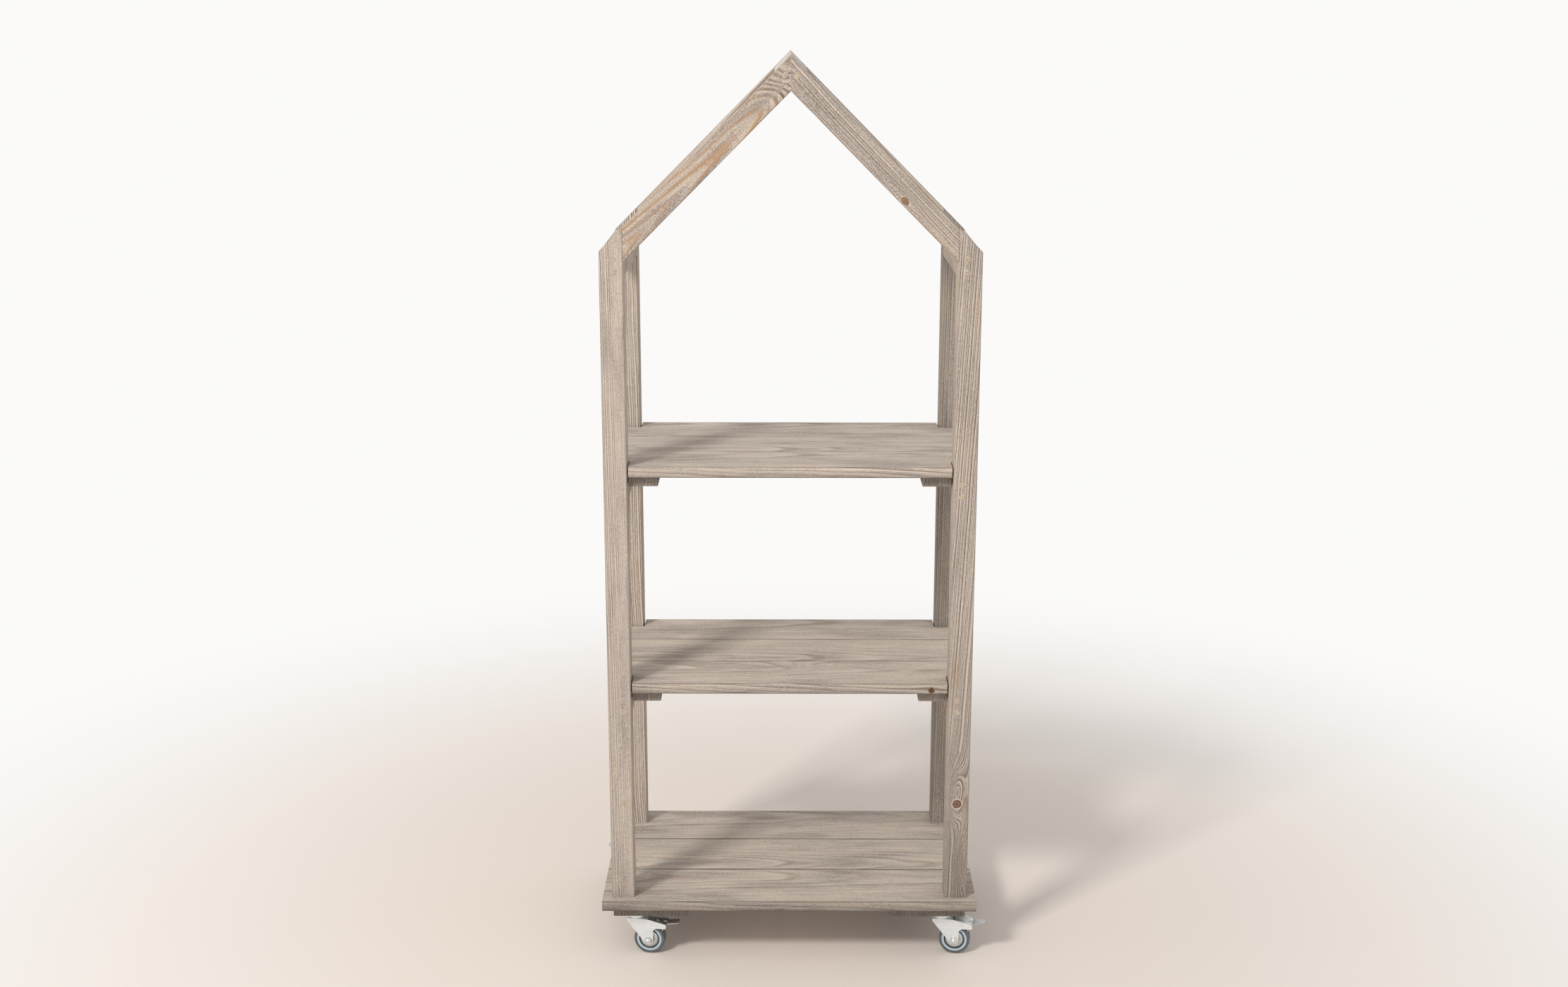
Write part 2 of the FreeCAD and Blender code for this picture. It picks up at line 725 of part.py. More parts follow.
def make_pedal(end, side):
    body = new_body(f"brake_pedal_{end}_{side}")
    castor_place(body, end, side)
    start = "(web_reach + pedal_gap)"
    start_top = f"({pivot_z} + pedal_rise)"
    bend_top = f"({start_top} - pedal_fall)"
    tab_end = "(fork_reach + pedal_tab_length)"
    tab_top = f"({bend_top} + pedal_tab_rise)"

    def plate_middle(x):
        return f"{start_top} - pedal_fall * ({x} - {start}) / (fork_reach - {start}) - pedal_sheet / 2"

    strip = new_sketch(body, "XZ_Plane")
    draw_outline(strip, [
        (start, start_top), (start, f"{start_top} - pedal_sheet"),
        ("fork_reach", f"{bend_top} - pedal_sheet"), (tab_end, f"{tab_top} - pedal_sheet"),
        (tab_end, tab_top), ("fork_reach", bend_top),
    ])
    add_pad(body, strip, "pedal_tab_width", symmetric=True)

    def at_tab_end(edge):
        return along(upright)(edge) and same(edge.CenterOfMass.x, size(tab_end))

    round_edges(body, "pedal_tab_width / 4", at_tab_end)
    plate = new_sketch(body, "XZ_Plane")
    draw_outline(plate, [
        (start, start_top), (start, f"{start_top} - pedal_sheet"),
        ("fork_reach", f"{bend_top} - pedal_sheet"), ("fork_reach", bend_top),
    ])
    add_pad(body, plate, "pedal_width", symmetric=True)
    shoe_x = f"(wheel_trail + {shoe_share} * {wheel_radius})"
    shoe_back = f"({shoe_x} + pedal_sheet)"
    slot = new_sketch(body, "XY_Plane", pivot_z)
    slot_middle = f"({shoe_back} + fork_reach) / 2"
    draw_outline(slot, [
        (f"{slot_middle} - pedal_slot_length / 2", "-pedal_slot_width / 2"),
        (f"{slot_middle} + pedal_slot_length / 2", "-pedal_slot_width / 2"),
        (f"{slot_middle} + pedal_slot_length / 2", "pedal_slot_width / 2"),
        (f"{slot_middle} - pedal_slot_length / 2", "pedal_slot_width / 2"),
    ])
    add_pocket(body, slot, "pedal_rise + overrun", reverse=True)
    # a lug is pressed up between the pivot and the shoe
    lug_start = f"(({pivot_x} + {shoe_x} - pedal_lug_length) / 2)"
    lug_end = f"({lug_start} + pedal_lug_length)"
    lug_rise = "pedal_sheet / 2 + pedal_lug_height"
    lug = new_sketch(body, "XZ_Plane")
    draw_outline(lug, [
        (lug_start, plate_middle(lug_start)), (lug_end, plate_middle(lug_end)),
        (lug_end, f"{plate_middle(lug_end)} + {lug_rise}"),
        (lug_start, f"{plate_middle(lug_start)} + {lug_rise}"),
    ])
    add_pad(body, lug, "pedal_lug_width", symmetric=True)
    # an ear hangs on each pivot stud
    for sign in (-1, 1):
        ear = new_sketch(body, "XZ_Plane", f"{sign} * pedal_width / 2")
        low = "pedal_ear_radius / 2"
        draw_outline(ear, [
            (f"{pivot_x} - pedal_ear_radius", f"{pivot_z} - {low}"),
            (f"{pivot_x} - {low}", f"{pivot_z} - pedal_ear_radius"),
            (f"{pivot_x} + {low}", f"{pivot_z} - pedal_ear_radius"),
            (f"{pivot_x} + pedal_ear_radius", f"{pivot_z} - {low}"),
            (f"{pivot_x} + pedal_ear_radius", plate_middle(f"({pivot_x} + pedal_ear_radius)")),
            (f"{pivot_x} - pedal_ear_radius", plate_middle(f"({pivot_x} - pedal_ear_radius)")),
        ])
        add_pad(body, ear, "pedal_sheet", reverse=sign > 0)
    pivot = new_sketch(body, "XZ_Plane")
    draw_circles(pivot, [(pivot_x, pivot_z)], "pivot_diameter + 2 * running_clearance")
    add_pocket(body, pivot, "pedal_width + overrun", symmetric=True)
    # the shoe is bent down from the plate and stops just off the tread
    reach = f"({wheel_radius} + shoe_clearance)"
    shoe_way = f"({shoe_x} - wheel_trail)"
    shoe_end = f"{wheel_radius} + sqrt({reach} * {reach} - {shoe_way} * {shoe_way})"
    shoe = new_sketch(body, "XZ_Plane")
    draw_outline(shoe, [
        (shoe_x, shoe_end), (shoe_back, shoe_end),
        (shoe_back, plate_middle(shoe_back)), (shoe_x, plate_middle(shoe_x)),
    ])
    add_pad(body, shoe, "shoe_width", symmetric=True)
    return body


# Fasteners and balls: one solid of each kind, repeated in its seats.
def make_group(label, solids):
    group = doc.addObject("Part::Feature", label)
    group.Label = label
    group.Shape = Part.makeCompound(solids)
    return group


def stud_with_head(diameter, length, head_diameter, head_height, seat, direction):
    # the seat is the outer face of the head, and the length is from there to the tip
    head = Part.makeCylinder(head_diameter / 2, head_height, seat, direction)
    shank = Part.makeCylinder(diameter / 2, length, seat, direction)
    return head.fuse(shank).removeSplitter()


def make_frame_screws():
    depth = size("filler_depth")
    diameter, length = size("frame_screw_diameter"), size("frame_screw_length")
    head = (size("frame_head_diameter"), size("frame_head_height"))
    solids = []
    for seat, direction, filled in frame_screw_seats:
        start = seat + direction * depth if filled else seat
        solids.append(stud_with_head(diameter, length, *head, start, direction))
    return make_group("frame_screws", solids)


def make_fillers():
    radius = size("frame_head_diameter") / 2
    depth = size("filler_depth")
    return make_group("screw_fillers", [Part.makeCylinder(radius, depth, seat, direction)
                                        for seat, direction, filled in frame_screw_seats if filled])


def make_plank_screws():
    return make_group("plank_screws", [
        stud_with_head(size("plank_screw_diameter"), size("plank_screw_length"),
                       size("plank_head_diameter"), size("plank_head_height"), seat, direction)
        for seat, direction in plank_screw_seats])


def make_stem_sockets():
    depth = size("batten_thickness")
    solids = []
    for seat in stem_seats:
        sleeve = Part.makeCylinder(size("socket_diameter") / 2, depth, seat, upright)
        solids.append(sleeve.cut(Part.makeCylinder(size("kingpin_diameter") / 2, depth, seat, upright)))
    return make_group("stem_sockets", solids)


def make_kingpins():
    # from the head under the fork's web up through the castor's head into the socket
    drop = size(f"castor_height - {web_under} + seat_clearance + kingpin_head_height")
    length = drop + size("stem_length")
    head = (size("kingpin_head_diameter"), size("kingpin_head_height"))
    return make_group("kingpins", [
        stud_with_head(size("kingpin_diameter"), length, *head, seat - upright * drop, upright)
        for seat in stem_seats])


def make_balls():
    radius = size("ball_diameter") / 2
    track = size("crown_radius") - size("ball_diameter")
    below = size("head_thickness") + radius
    step = 2 * math.pi / balls_in_race
    solids = []
    for seat in stem_seats:
        for k in range(balls_in_race):
            away = Vector(track * math.cos(step * k), track * math.sin(step * k), -below)
            solids.append(Part.makeSphere(radius, seat + away))
    return make_group("swivel_balls", solids)


nodes = []
for end in ends:
    for side in sides:
        nodes.append(make_post(end, side))
        nodes.append(make_rafter(end, side))
for side in sides:
    for shelf, top in (("lower", lower_top), ("upper", upper_top)):
        under = f"({top} - board_thickness)"
        nodes.append(make_side_rail(f"{shelf}_rail_{side}", side, under, rail_levels(top)))
        nodes.append(make_shelf_batten(shelf, side, top))
    nodes.append(make_side_rail(f"eave_rail_{side}", side, eave, eave_levels))
    nodes.append(make_base_batten(side))
nodes.append(make_ridge_rail())
for place_name in layers:
    nodes.append(make_shelf_plank("lower", place_name, lower_top))
    nodes.append(make_shelf_plank("upper", place_name, upper_top))
    nodes.append(make_base_plank(place_name))
for end in ends:
    for side in sides:
        nodes.append(make_castor_head(end, side))
        nodes.append(make_fork(end, side))
        nodes.append(make_axle_bolt(end, side))
        nodes.append(make_wheel(end, side))
        nodes.append(make_tyre(end, side))
        nodes.append(make_pedal(end, side))
doc.recompute()
nodes.append(make_frame_screws())
nodes.append(make_fillers())
nodes.append(make_plank_screws())
nodes.append(make_stem_sockets())
nodes.append(make_kingpins())
nodes.append(make_balls())
doc.recompute()

for thing in doc.Objects:
    if "Invalid" in thing.State or "Error" in thing.State:
        raise RuntimeError(f"{thing.Label} is not built")
os.makedirs("parts", exist_ok=True)
for node in nodes:
    if node.Shape.isNull() or not node.Shape.isValid():
        raise RuntimeError(f"{node.Label} has no valid shape")
    node.Shape.exportStep(f"parts/{node.Label}.step")
print(len(nodes), "pieces written")
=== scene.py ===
import bmesh
import bpy
import json
import math
from mathutils import Euler, Matrix, Vector


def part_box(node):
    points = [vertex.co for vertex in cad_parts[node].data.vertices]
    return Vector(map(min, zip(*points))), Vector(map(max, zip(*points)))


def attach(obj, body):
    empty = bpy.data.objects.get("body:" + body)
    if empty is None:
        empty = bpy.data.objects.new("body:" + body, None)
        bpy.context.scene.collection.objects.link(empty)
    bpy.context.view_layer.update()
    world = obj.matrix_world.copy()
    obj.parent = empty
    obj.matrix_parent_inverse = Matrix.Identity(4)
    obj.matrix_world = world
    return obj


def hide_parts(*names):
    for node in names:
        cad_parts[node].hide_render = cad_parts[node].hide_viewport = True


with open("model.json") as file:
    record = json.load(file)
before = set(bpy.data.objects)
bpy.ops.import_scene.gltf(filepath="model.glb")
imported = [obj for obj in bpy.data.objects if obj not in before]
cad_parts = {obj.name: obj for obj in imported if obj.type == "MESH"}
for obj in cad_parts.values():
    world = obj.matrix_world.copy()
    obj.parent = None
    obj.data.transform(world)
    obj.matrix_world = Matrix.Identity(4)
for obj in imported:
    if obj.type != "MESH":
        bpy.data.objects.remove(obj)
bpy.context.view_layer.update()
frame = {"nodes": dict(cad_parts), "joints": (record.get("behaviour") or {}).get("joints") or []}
cad = frame["nodes"]
joints = {joint["name"]: joint for joint in frame["joints"]}
scene = bpy.context.scene
mm = 0.001
sides = ("left", "right")
cornerNames = [f"{end}_{side}" for end in ("front", "rear") for side in sides]


def hexColour(code):
    # sRGB hex to the linear values that the shaders take
    shares = [int(code[k:k + 2], 16) / 255 for k in (1, 3, 5)]
    return [c / 12.92 if c <= 0.04045 else ((c + 0.055) / 1.055) ** 2.4 for c in shares] + [1.0]


def addNode(tree, kind, inputs=None, stops=None, out=0, **settings):
    # an input that is a socket is linked, any other is set; stops are a ramp's places and values
    node = tree.nodes.new("ShaderNode" + kind)
    for key, value in settings.items():
        setattr(node, key, value)
    for key, value in (inputs or {}).items():
        if isinstance(value, bpy.types.NodeSocket):
            tree.links.new(value, node.inputs[key])
        else:
            node.inputs[key].default_value = value
    for k, (place, value) in enumerate(stops or ()):
        stop = node.color_ramp.elements[k] if k < 2 else node.color_ramp.elements.new(place)
        stop.position = place
        stop.color = value if isinstance(value, list) else (value, value, value, 1)
    return node if out is None else node.outputs[out]


def ends(side, pair):
    # the inputs for one side of a Map Range node, From or To
    return {f"{side} Min": pair[0], f"{side} Max": pair[1]}


def newMaterial(name):
    material = bpy.data.materials.new(name)
    material.use_nodes = True
    tree = material.node_tree
    tree.nodes.clear()
    shader = addNode(tree, "BsdfPrincipled", out=None)
    addNode(tree, "OutputMaterial", {"Surface": shader.outputs["BSDF"]}, out=None)
    return material, tree, shader


def dress(piece, material):
    piece.data.materials.clear()
    piece.data.materials.append(material)


# Pine, wire-brushed and then washed grey. Brushing digs out the soft spring wood, which holds the pale wash;
# the hard summer wood is left as thin brown lines, and the wash breaks up into specks over the pores.
# Stops are values of a noise, or of a knot's ring, between which something comes or goes.
pineLook = {
    "seed": 0.0,
    "tone": 1.0,
    "roughness": 0.8,
    "specular": 0.3,
    # rings
    "ringMm": 3.2,           # from one year to the next
    "unevenPace": 0.37,      # how fast good years turn to bad ones
    "unevenYears": 1.6,      # how far that shifts the lines
    "driftMm": 4.0,          # how far the rings wander from straight
    "driftLengthMm": 420,    # along the grain
    "driftWidthMm": 111,     # across it
    "taper": 0.012,          # how fast the trunk narrows
    # lines: pairs of a place and a strength; a place is counted in lineShares back from the year's end
    "lineShare": 0.4,        # of a year that is hard summer wood
    "line": "#7b685a",
    "linePlaces": ((1, 0), (0.6, 0.9), (0.32, 1), (0.1, 0.5)),
    "lineAfter": ((0, 0.25), (0.1, 0)),      # its last trace, counted in years from the next one's start
    "cream": "#e3dacf",      # the pale line beside each brown one
    "creamPlaces": ((1.75, 0), (1.12, 1), (0.85, 0.7), (0.62, 0)),
    "contrast": 1.0,
    "edgeContrast": 1.0,     # the same on a plank's long edges, as a multiple
    "faintYear": 0.4,        # the faintest year's line beside the strongest
    "fadeStops": (0.36, 0.56),
    "faded": 0.45,           # what thick wash leaves of the lines
    "calm": None,            # across the piece, from where the lines are faint to where they are full
    "calmShare": 0.25,       # what is left of them where they are faint
    # wash
    "grey": "#a99e94",
    "wash": "#c2b7ad",
    "warm": "#d0c1b0",
    "patchMm": (143, 26),    # along and across the grain, where more or less wash was left
    "patchStops": (0.34, 0.5, 0.68),
    "patchSeed": 3.1,        # keeps the patches unlike the drift
    "bare": "#bd9468",       # where the wash is rubbed off
    "rubbed": 0.3,           # share with little wash left
    "rubStops": ((0.7, 0.3), (0.88, 0.25)),  # at a share of 0, and what a share of 1 takes off each
    "rubShare": 0.5,         # of bare wood where it is rubbed most
    # specks and fibres
    "fleck": "#e8e0d7",
    "pore": "#b5a698",       # darkens what it lies on
    "stipple": 0.45,         # strength of both
    "speckMm": 1.2,          # wash left in the brushed pores, drawn coarse to show
    "speckStretch": 0.35,    # 1 for round specks, less for specks drawn out along the grain
    "fleckStops": (0.52, 0.68),
    "poreStops": (0.32, 0.47),
    "fibreMm": 0.9,          # drawn about twice as coarse as real fibre, to show
    "fibreStretch": 0.0198,  # the same for fibres
    "fibreStops": (0.3, 0.7),
    "fibreShades": (0.84, 1.1),
    # wear, and painted shade along the arrises
    "edge": "#9c8d7e",
    "arrisMm": (2.5, 0.2),   # from the arris to where its wear starts, and to where it is full
    "wear": (0.0, 0.6),      # of the arrises, from the least to the most
    "wearStops": (0.38, 0.62),
    "sideTone": 1.0,         # of a plank's long edges
    "sideShares": (0.72, 1.28),      # of that, at the lower and the upper arris
    # painted shade: darker at the low end of the grain, where less light reaches
    "footShade": 1.0,         # at the low end of the grain
    # knots
    "knotPush": 0.9,         # how far the rings make way for a knot; 1 would clear its middle of them
    "knotRough": 0.22,       # how far the specks roughen its rim, which also moves it in by about a tenth
    "knotRings": ((0.1, "heart"), (0.26, "rim"), (0.39, "heart"), (0.51, "rim"), (0.59, "rim"),
                  (0.63, "halo")),   # from its middle out, with its radius at 0.5
    "knotStops": (0.62, 0.76),
    # relief
    "reliefMm": 0.5,
    "relief": 0.9,
    "fibreRelief": 0.5,      # beside the lines
    "speckRelief": 0.6,
}


def nearMark(tree, local, mark, reachMm, toLocal):
    # the way from a knot or an oval, the way across the grain on its face, and a nearness that is 1 in its
    # middle and hardly anything at twice its reach
    across = Vector((0, 0, 1)) if mark["face"] == "front" else Vector((0, 1, 0))
    shrink = Vector((1, 0, 0)) / (reachMm[0] * mm) + across / (reachMm[1] * mm)
    middle = toLocal @ (Vector(mark["at"]) * mm)
    away = addNode(tree, "VectorMath", {0: local, 1: middle}, operation="SUBTRACT")
    shrunk = addNode(tree, "VectorMath", {0: away, 1: shrink}, operation="MULTIPLY")
    far = addNode(tree, "VectorMath", {0: shrunk, 1: shrunk}, out="Value", operation="DOT_PRODUCT")
    far = addNode(tree, "Math", {0: far, 1: -1.0}, operation="MULTIPLY")
    return away, across, addNode(tree, "Math", {0: far}, operation="EXPONENT")


def pineGrain(tree, p, local, knots, toLocal):
    # coordinates that wander with the rings and part round the knots
    slowness = [1 / (p[key] * mm) for key in ("driftLengthMm", "driftWidthMm", "driftWidthMm")]
    slow = addNode(tree, "VectorMath", {0: local, 1: slowness}, operation="MULTIPLY")
    drift = addNode(tree, "TexNoise", {"Vector": slow, "W": p["seed"], "Scale": 1.0, "Detail": 3.0,
                                       "Roughness": 0.5}, out="Color", noise_dimensions="4D")
    reach = 2 * p["driftMm"] * mm
    grain = addNode(tree, "VectorMath", {0: drift, 1: (0, reach, reach), 2: local}, operation="MULTIPLY_ADD")
    knotMarks = []
    for knot in knots:
        away, across, near = nearMark(tree, local, knot, knot["flowMm"], toLocal)
        push = addNode(tree, "VectorMath", {0: away, 1: across * -p["knotPush"]}, operation="MULTIPLY")
        push = addNode(tree, "VectorMath", {0: push, "Scale": near}, operation="SCALE")
        grain = addNode(tree, "VectorMath", {0: grain, 1: push}, operation="ADD")
        shape = (Vector((knot["squat"], 0, 0)) + across) / (2 * knot["radiusMm"] * mm)
        ring = addNode(tree, "VectorMath", {0: away, 1: shape}, operation="MULTIPLY")
        ring = addNode(tree, "VectorMath", {0: ring}, out="Value", operation="LENGTH")
        knotMarks.append((knot, ring))
    return grain, knotMarks


def pineYears(tree, p, local, spread, grain, pith, ovals, toLocal):
    # years counted outwards from the pith, and the colour of their lines
    out = addNode(tree, "VectorMath", {0: grain, 1: (0, pith[0] * mm, pith[1] * mm)}, operation="SUBTRACT")
    out = addNode(tree, "VectorMath", {0: out, 1: (0, 1, 1)}, operation="MULTIPLY")
    out = addNode(tree, "VectorMath", {0: out}, out="Value", operation="LENGTH")
    out = addNode(tree, "Math", {0: spread[0], 1: p["taper"], 2: out}, operation="MULTIPLY_ADD")
    lineColour = p["line"]
    for oval in ovals:
        # a swelling under the surface, cut through as nested ovals
        near = nearMark(tree, local, oval, oval["sizeMm"], toLocal)[2]
        out = addNode(tree, "Math", {0: near, 1: oval["swellMm"] * mm, 2: out}, operation="MULTIPLY_ADD")
        if "line" in oval:
            close = addNode(tree, "Math", {0: near, 1: oval["lineReach"]}, operation="MULTIPLY",
                            use_clamp=True)
            lineColour = addNode(tree, "Mix", {0: close, 6: lineColour, 7: hexColour(oval["line"])}, out=2,
                                 data_type="RGBA")
    years = addNode(tree, "Math", {0: out, 1: p["ringMm"] * mm}, operation="DIVIDE")
    uneven = addNode(tree, "TexNoise", {"W": years, "Scale": p["unevenPace"], "Detail": 1.0},
                     noise_dimensions="1D")
    years = addNode(tree, "Math", {0: uneven, 1: p["unevenYears"], 2: years}, operation="MULTIPLY_ADD")
    return years, lineColour


def pineLines(tree, p, years, fading, spread, closeness):
    # some years leave a strong line, others hardly one
    whole = addNode(tree, "Math", {0: years}, operation="FLOOR")
    strength = addNode(tree, "TexWhiteNoise", {"W": whole}, noise_dimensions="1D")
    strength = addNode(tree, "MapRange", {"Value": strength, "To Min": p["faintYear"] * p["contrast"],
                                          "To Max": p["contrast"]})
    shares = [addNode(tree, "MapRange", {"Value": fading, **ends("From", p["fadeStops"]),
                                         "To Min": p["faded"]})]
    if p["calm"]:
        across = [place * mm for place in p["calm"]]
        shares.append(addNode(tree, "MapRange", {"Value": spread[2], **ends("From", across),
                                                 "To Min": p["calmShare"]}))
    if p["edgeContrast"] != 1.0:
        shares.append(addNode(tree, "MapRange", {"Value": closeness[0],
                                                 **ends("To", (1.0, p["edgeContrast"]))}))
    for share in shares:
        strength = addNode(tree, "Math", {0: strength, 1: share}, operation="MULTIPLY")
    season = addNode(tree, "Math", {0: years}, operation="FRACT")
    brown, pale = ([(max(0, 1 - back * p["lineShare"]), value) for back, value in p[key]]
                   for key in ("linePlaces", "creamPlaces"))
    summer = addNode(tree, "ValToRGB", {0: season}, list(p["lineAfter"]) + brown)
    spring = addNode(tree, "ValToRGB", {0: season}, pale)
    return [addNode(tree, "Math", {0: line, 1: strength}, operation="MULTIPLY") for line in (summer, spring)]


def grainNoise(tree, grain, sizeMm, stretch, roughness):
    # a noise drawn out along the grain
    fineness = 1 / (sizeMm * mm)
    fine = addNode(tree, "VectorMath", {0: grain, 1: (stretch * fineness, fineness, fineness)},
                   operation="MULTIPLY")
    return addNode(tree, "TexNoise", {"Vector": fine, "Scale": 1.0, "Detail": 2.0, "Roughness": roughness})


def pineSpecks(tree, p, speck, lines, colour):
    # specks of wash and open pores, which the hard summer wood hardly takes
    soft = addNode(tree, "Math", {0: 1.0, 1: lines}, operation="SUBTRACT", use_clamp=True)
    fleck = addNode(tree, "MapRange", {"Value": speck, **ends("From", p["fleckStops"]),
                                       "To Max": p["stipple"]}, interpolation_type="SMOOTHSTEP")
    fleck = addNode(tree, "Math", {0: fleck, 1: soft}, operation="MULTIPLY")
    colour = addNode(tree, "Mix", {0: fleck, 6: colour, 7: p["fleck"]}, out=2, data_type="RGBA")
    pore = addNode(tree, "MapRange", {"Value": speck, **ends("From", p["poreStops"]),
                                      **ends("To", (p["stipple"], 0.0))}, interpolation_type="SMOOTHSTEP")
    pore = addNode(tree, "Math", {0: pore, 1: soft}, operation="MULTIPLY")
    return addNode(tree, "Mix", {0: pore, 6: colour, 7: p["pore"]}, out=2, data_type="RGBA",
                   blend_type="MULTIPLY")


def pineWearAndShade(tree, p, spread, closeness, section, foot, chips, colour):
    # arrises darkened, partly as wear where handling thinned the wash and partly as painted shade along them
    arrisWearAndShade = addNode(tree, "Math", {0: closeness[0], 1: closeness[1]}, operation="MULTIPLY")
    chipped = addNode(tree, "MapRange", {"Value": chips, **ends("From", p["wearStops"]),
                                         **ends("To", p["wear"])})
    arrisWearAndShade = addNode(tree, "Math", {0: arrisWearAndShade, 1: chipped}, operation="MULTIPLY")
    colour = addNode(tree, "Mix", {0: arrisWearAndShade, 6: colour, 7: p["edge"]}, out=2, data_type="RGBA")
    if p["sideTone"] != 1.0:
        # a plank's long edges are darker towards the lower arris and paler towards the upper one
        half = section[1] * mm
        tones = [share * p["sideTone"] for share in p["sideShares"]]
        shade = addNode(tree, "MapRange", {"Value": spread[2], **ends("From", (-half, half)),
                                           **ends("To", tones)})
        colour = addNode(tree, "Mix", {0: closeness[0], 6: colour, 7: shade}, out=2, data_type="RGBA",
                         blend_type="MULTIPLY")
    # painted shade: darker towards the low end of the grain, where less light falls
    if p["footShade"] != 1.0:
        shade = addNode(tree, "MapRange", {"Value": spread[0], **ends("From", (foot, 0.0)),
                                           "To Min": p["footShade"]})
        colour = addNode(tree, "Mix", {0: 1.0, 6: colour, 7: shade}, out=2, data_type="RGBA",
                         blend_type="MULTIPLY")
    return colour


def pineMaterial(node, turn, section, pith, look, knots=(), ovals=()):
    # turn brings the grain onto X; section is half the piece's size across the grain; pith is where the
    # tree's middle lies from the piece's own; knots and ovals are in the shelf's frame. All sizes in mm.
    p = dict(pineLook, **look)
    for key in ("grey", "wash", "warm", "line", "cream", "bare", "fleck", "edge"):
        p[key] = [p["tone"] * c for c in hexColour(p[key])[:3]] + [1.0]
    p["pore"] = hexColour(p["pore"])
    low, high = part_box(node)
    turnMatrix = Euler(turn).to_matrix()
    middle = turnMatrix @ ((low + high) / 2)
    toLocal = Matrix.Translation(-middle) @ turnMatrix.to_4x4()
    material, tree, shader = newMaterial(f"brushedPine_{node}")
    place = addNode(tree, "TexCoord", out="Object")
    local = addNode(tree, "Mapping", {"Vector": place, "Rotation": turn, "Location": -middle})
    spread = addNode(tree, "SeparateXYZ", {0: local}, out=None).outputs
    closeness = []           # to the faces across the grain
    for socket, half in zip(spread[1:], section):
        size = addNode(tree, "Math", {0: socket}, operation="ABSOLUTE")
        band = [(half - inset) * mm for inset in p["arrisMm"]]
        closeness.append(addNode(tree, "MapRange", {"Value": size, **ends("From", band)},
                                 interpolation_type="SMOOTHSTEP"))
    grain, knotMarks = pineGrain(tree, p, local, knots, toLocal)
    years, lineColour = pineYears(tree, p, local, spread, grain, pith, ovals, toLocal)
    # broad patches that took more or less wash
    along, across = (1 / (size * mm) for size in p["patchMm"])
    broad = addNode(tree, "VectorMath", {0: local, 1: (along, across, across)}, operation="MULTIPLY")
    patch = addNode(tree, "TexNoise", {"Vector": broad, "W": p["seed"] + p["patchSeed"], "Scale": 1.0,
                                       "Detail": 3.0, "Roughness": 0.55}, out=None, noise_dimensions="4D")
    chips, fading, rubbing = addNode(tree, "SeparateXYZ", {0: patch.outputs["Color"]}, out=None).outputs
    shades = [p[key] for key in ("grey", "wash", "warm")]
    colour = addNode(tree, "ValToRGB", {0: patch.outputs[0]}, zip(p["patchStops"], shades))
    lines, bright = pineLines(tree, p, years, fading, spread, closeness)
    colour = addNode(tree, "Mix", {0: lines, 6: colour, 7: lineColour}, out=2, data_type="RGBA")
    colour = addNode(tree, "Mix", {0: bright, 6: colour, 7: p["cream"]}, out=2, data_type="RGBA")
    rubStops = [stop - drop * p["rubbed"] for stop, drop in p["rubStops"]]
    rubbed = addNode(tree, "MapRange", {"Value": rubbing, **ends("From", rubStops), "To Max": p["rubShare"]},
                     interpolation_type="SMOOTHSTEP")
    colour = addNode(tree, "Mix", {0: rubbed, 6: colour, 7: p["bare"]}, out=2, data_type="RGBA")
    speck = grainNoise(tree, grain, p["speckMm"], p["speckStretch"], roughness=0.65)
    colour = pineSpecks(tree, p, speck, lines, colour)
    fibre = grainNoise(tree, grain, p["fibreMm"], p["fibreStretch"], roughness=0.6)
    streak = addNode(tree, "MapRange", {"Value": fibre, **ends("From", p["fibreStops"]),
                                        **ends("To", p["fibreShades"])})
    colour = addNode(tree, "Mix", {0: 1.0, 6: colour, 7: streak}, out=2, data_type="RGBA",
                     blend_type="MULTIPLY")
    foot = (turnMatrix @ (low - high) / 2).x
    colour = pineWearAndShade(tree, p, spread, closeness, section, foot, chips, colour)
    for knot, ring in knotMarks:
        ring = addNode(tree, "Math", {0: speck, 1: p["knotRough"], 2: ring}, operation="MULTIPLY_ADD")
        rings = [(stop, hexColour(knot[key])) for stop, key in p["knotRings"]]
        mark = addNode(tree, "ValToRGB", {0: ring}, rings)
        inside = addNode(tree, "MapRange", {"Value": ring, **ends("From", p["knotStops"]),
                                            **ends("To", (1.0, 0.0))}, interpolation_type="SMOOTHSTEP")
        colour = addNode(tree, "Mix", {0: inside, 6: colour, 7: mark}, out=2, data_type="RGBA")
    relief = addNode(tree, "Math", {0: fibre, 1: p["fibreRelief"], 2: lines}, operation="MULTIPLY_ADD")
    relief = addNode(tree, "Math", {0: speck, 1: p["speckRelief"], 2: relief}, operation="MULTIPLY_ADD")
    bump = addNode(tree, "Bump", {"Height": relief, "Distance": p["reliefMm"] * mm, "Strength": p["relief"]})
    tree.links.new(colour, shader.inputs["Base Color"])
    tree.links.new(bump, shader.inputs["Normal"])
    shader.inputs["Roughness"].default_value = p["roughness"]
    shader.inputs["Specular IOR Level"].default_value = p["specular"]
    return material


grainUp = (0, math.radians(90), 0)          # posts
grainBack = (0, 0, math.radians(-90))       # rails and battens
grainAcross = (0, 0, 0)                     # planks
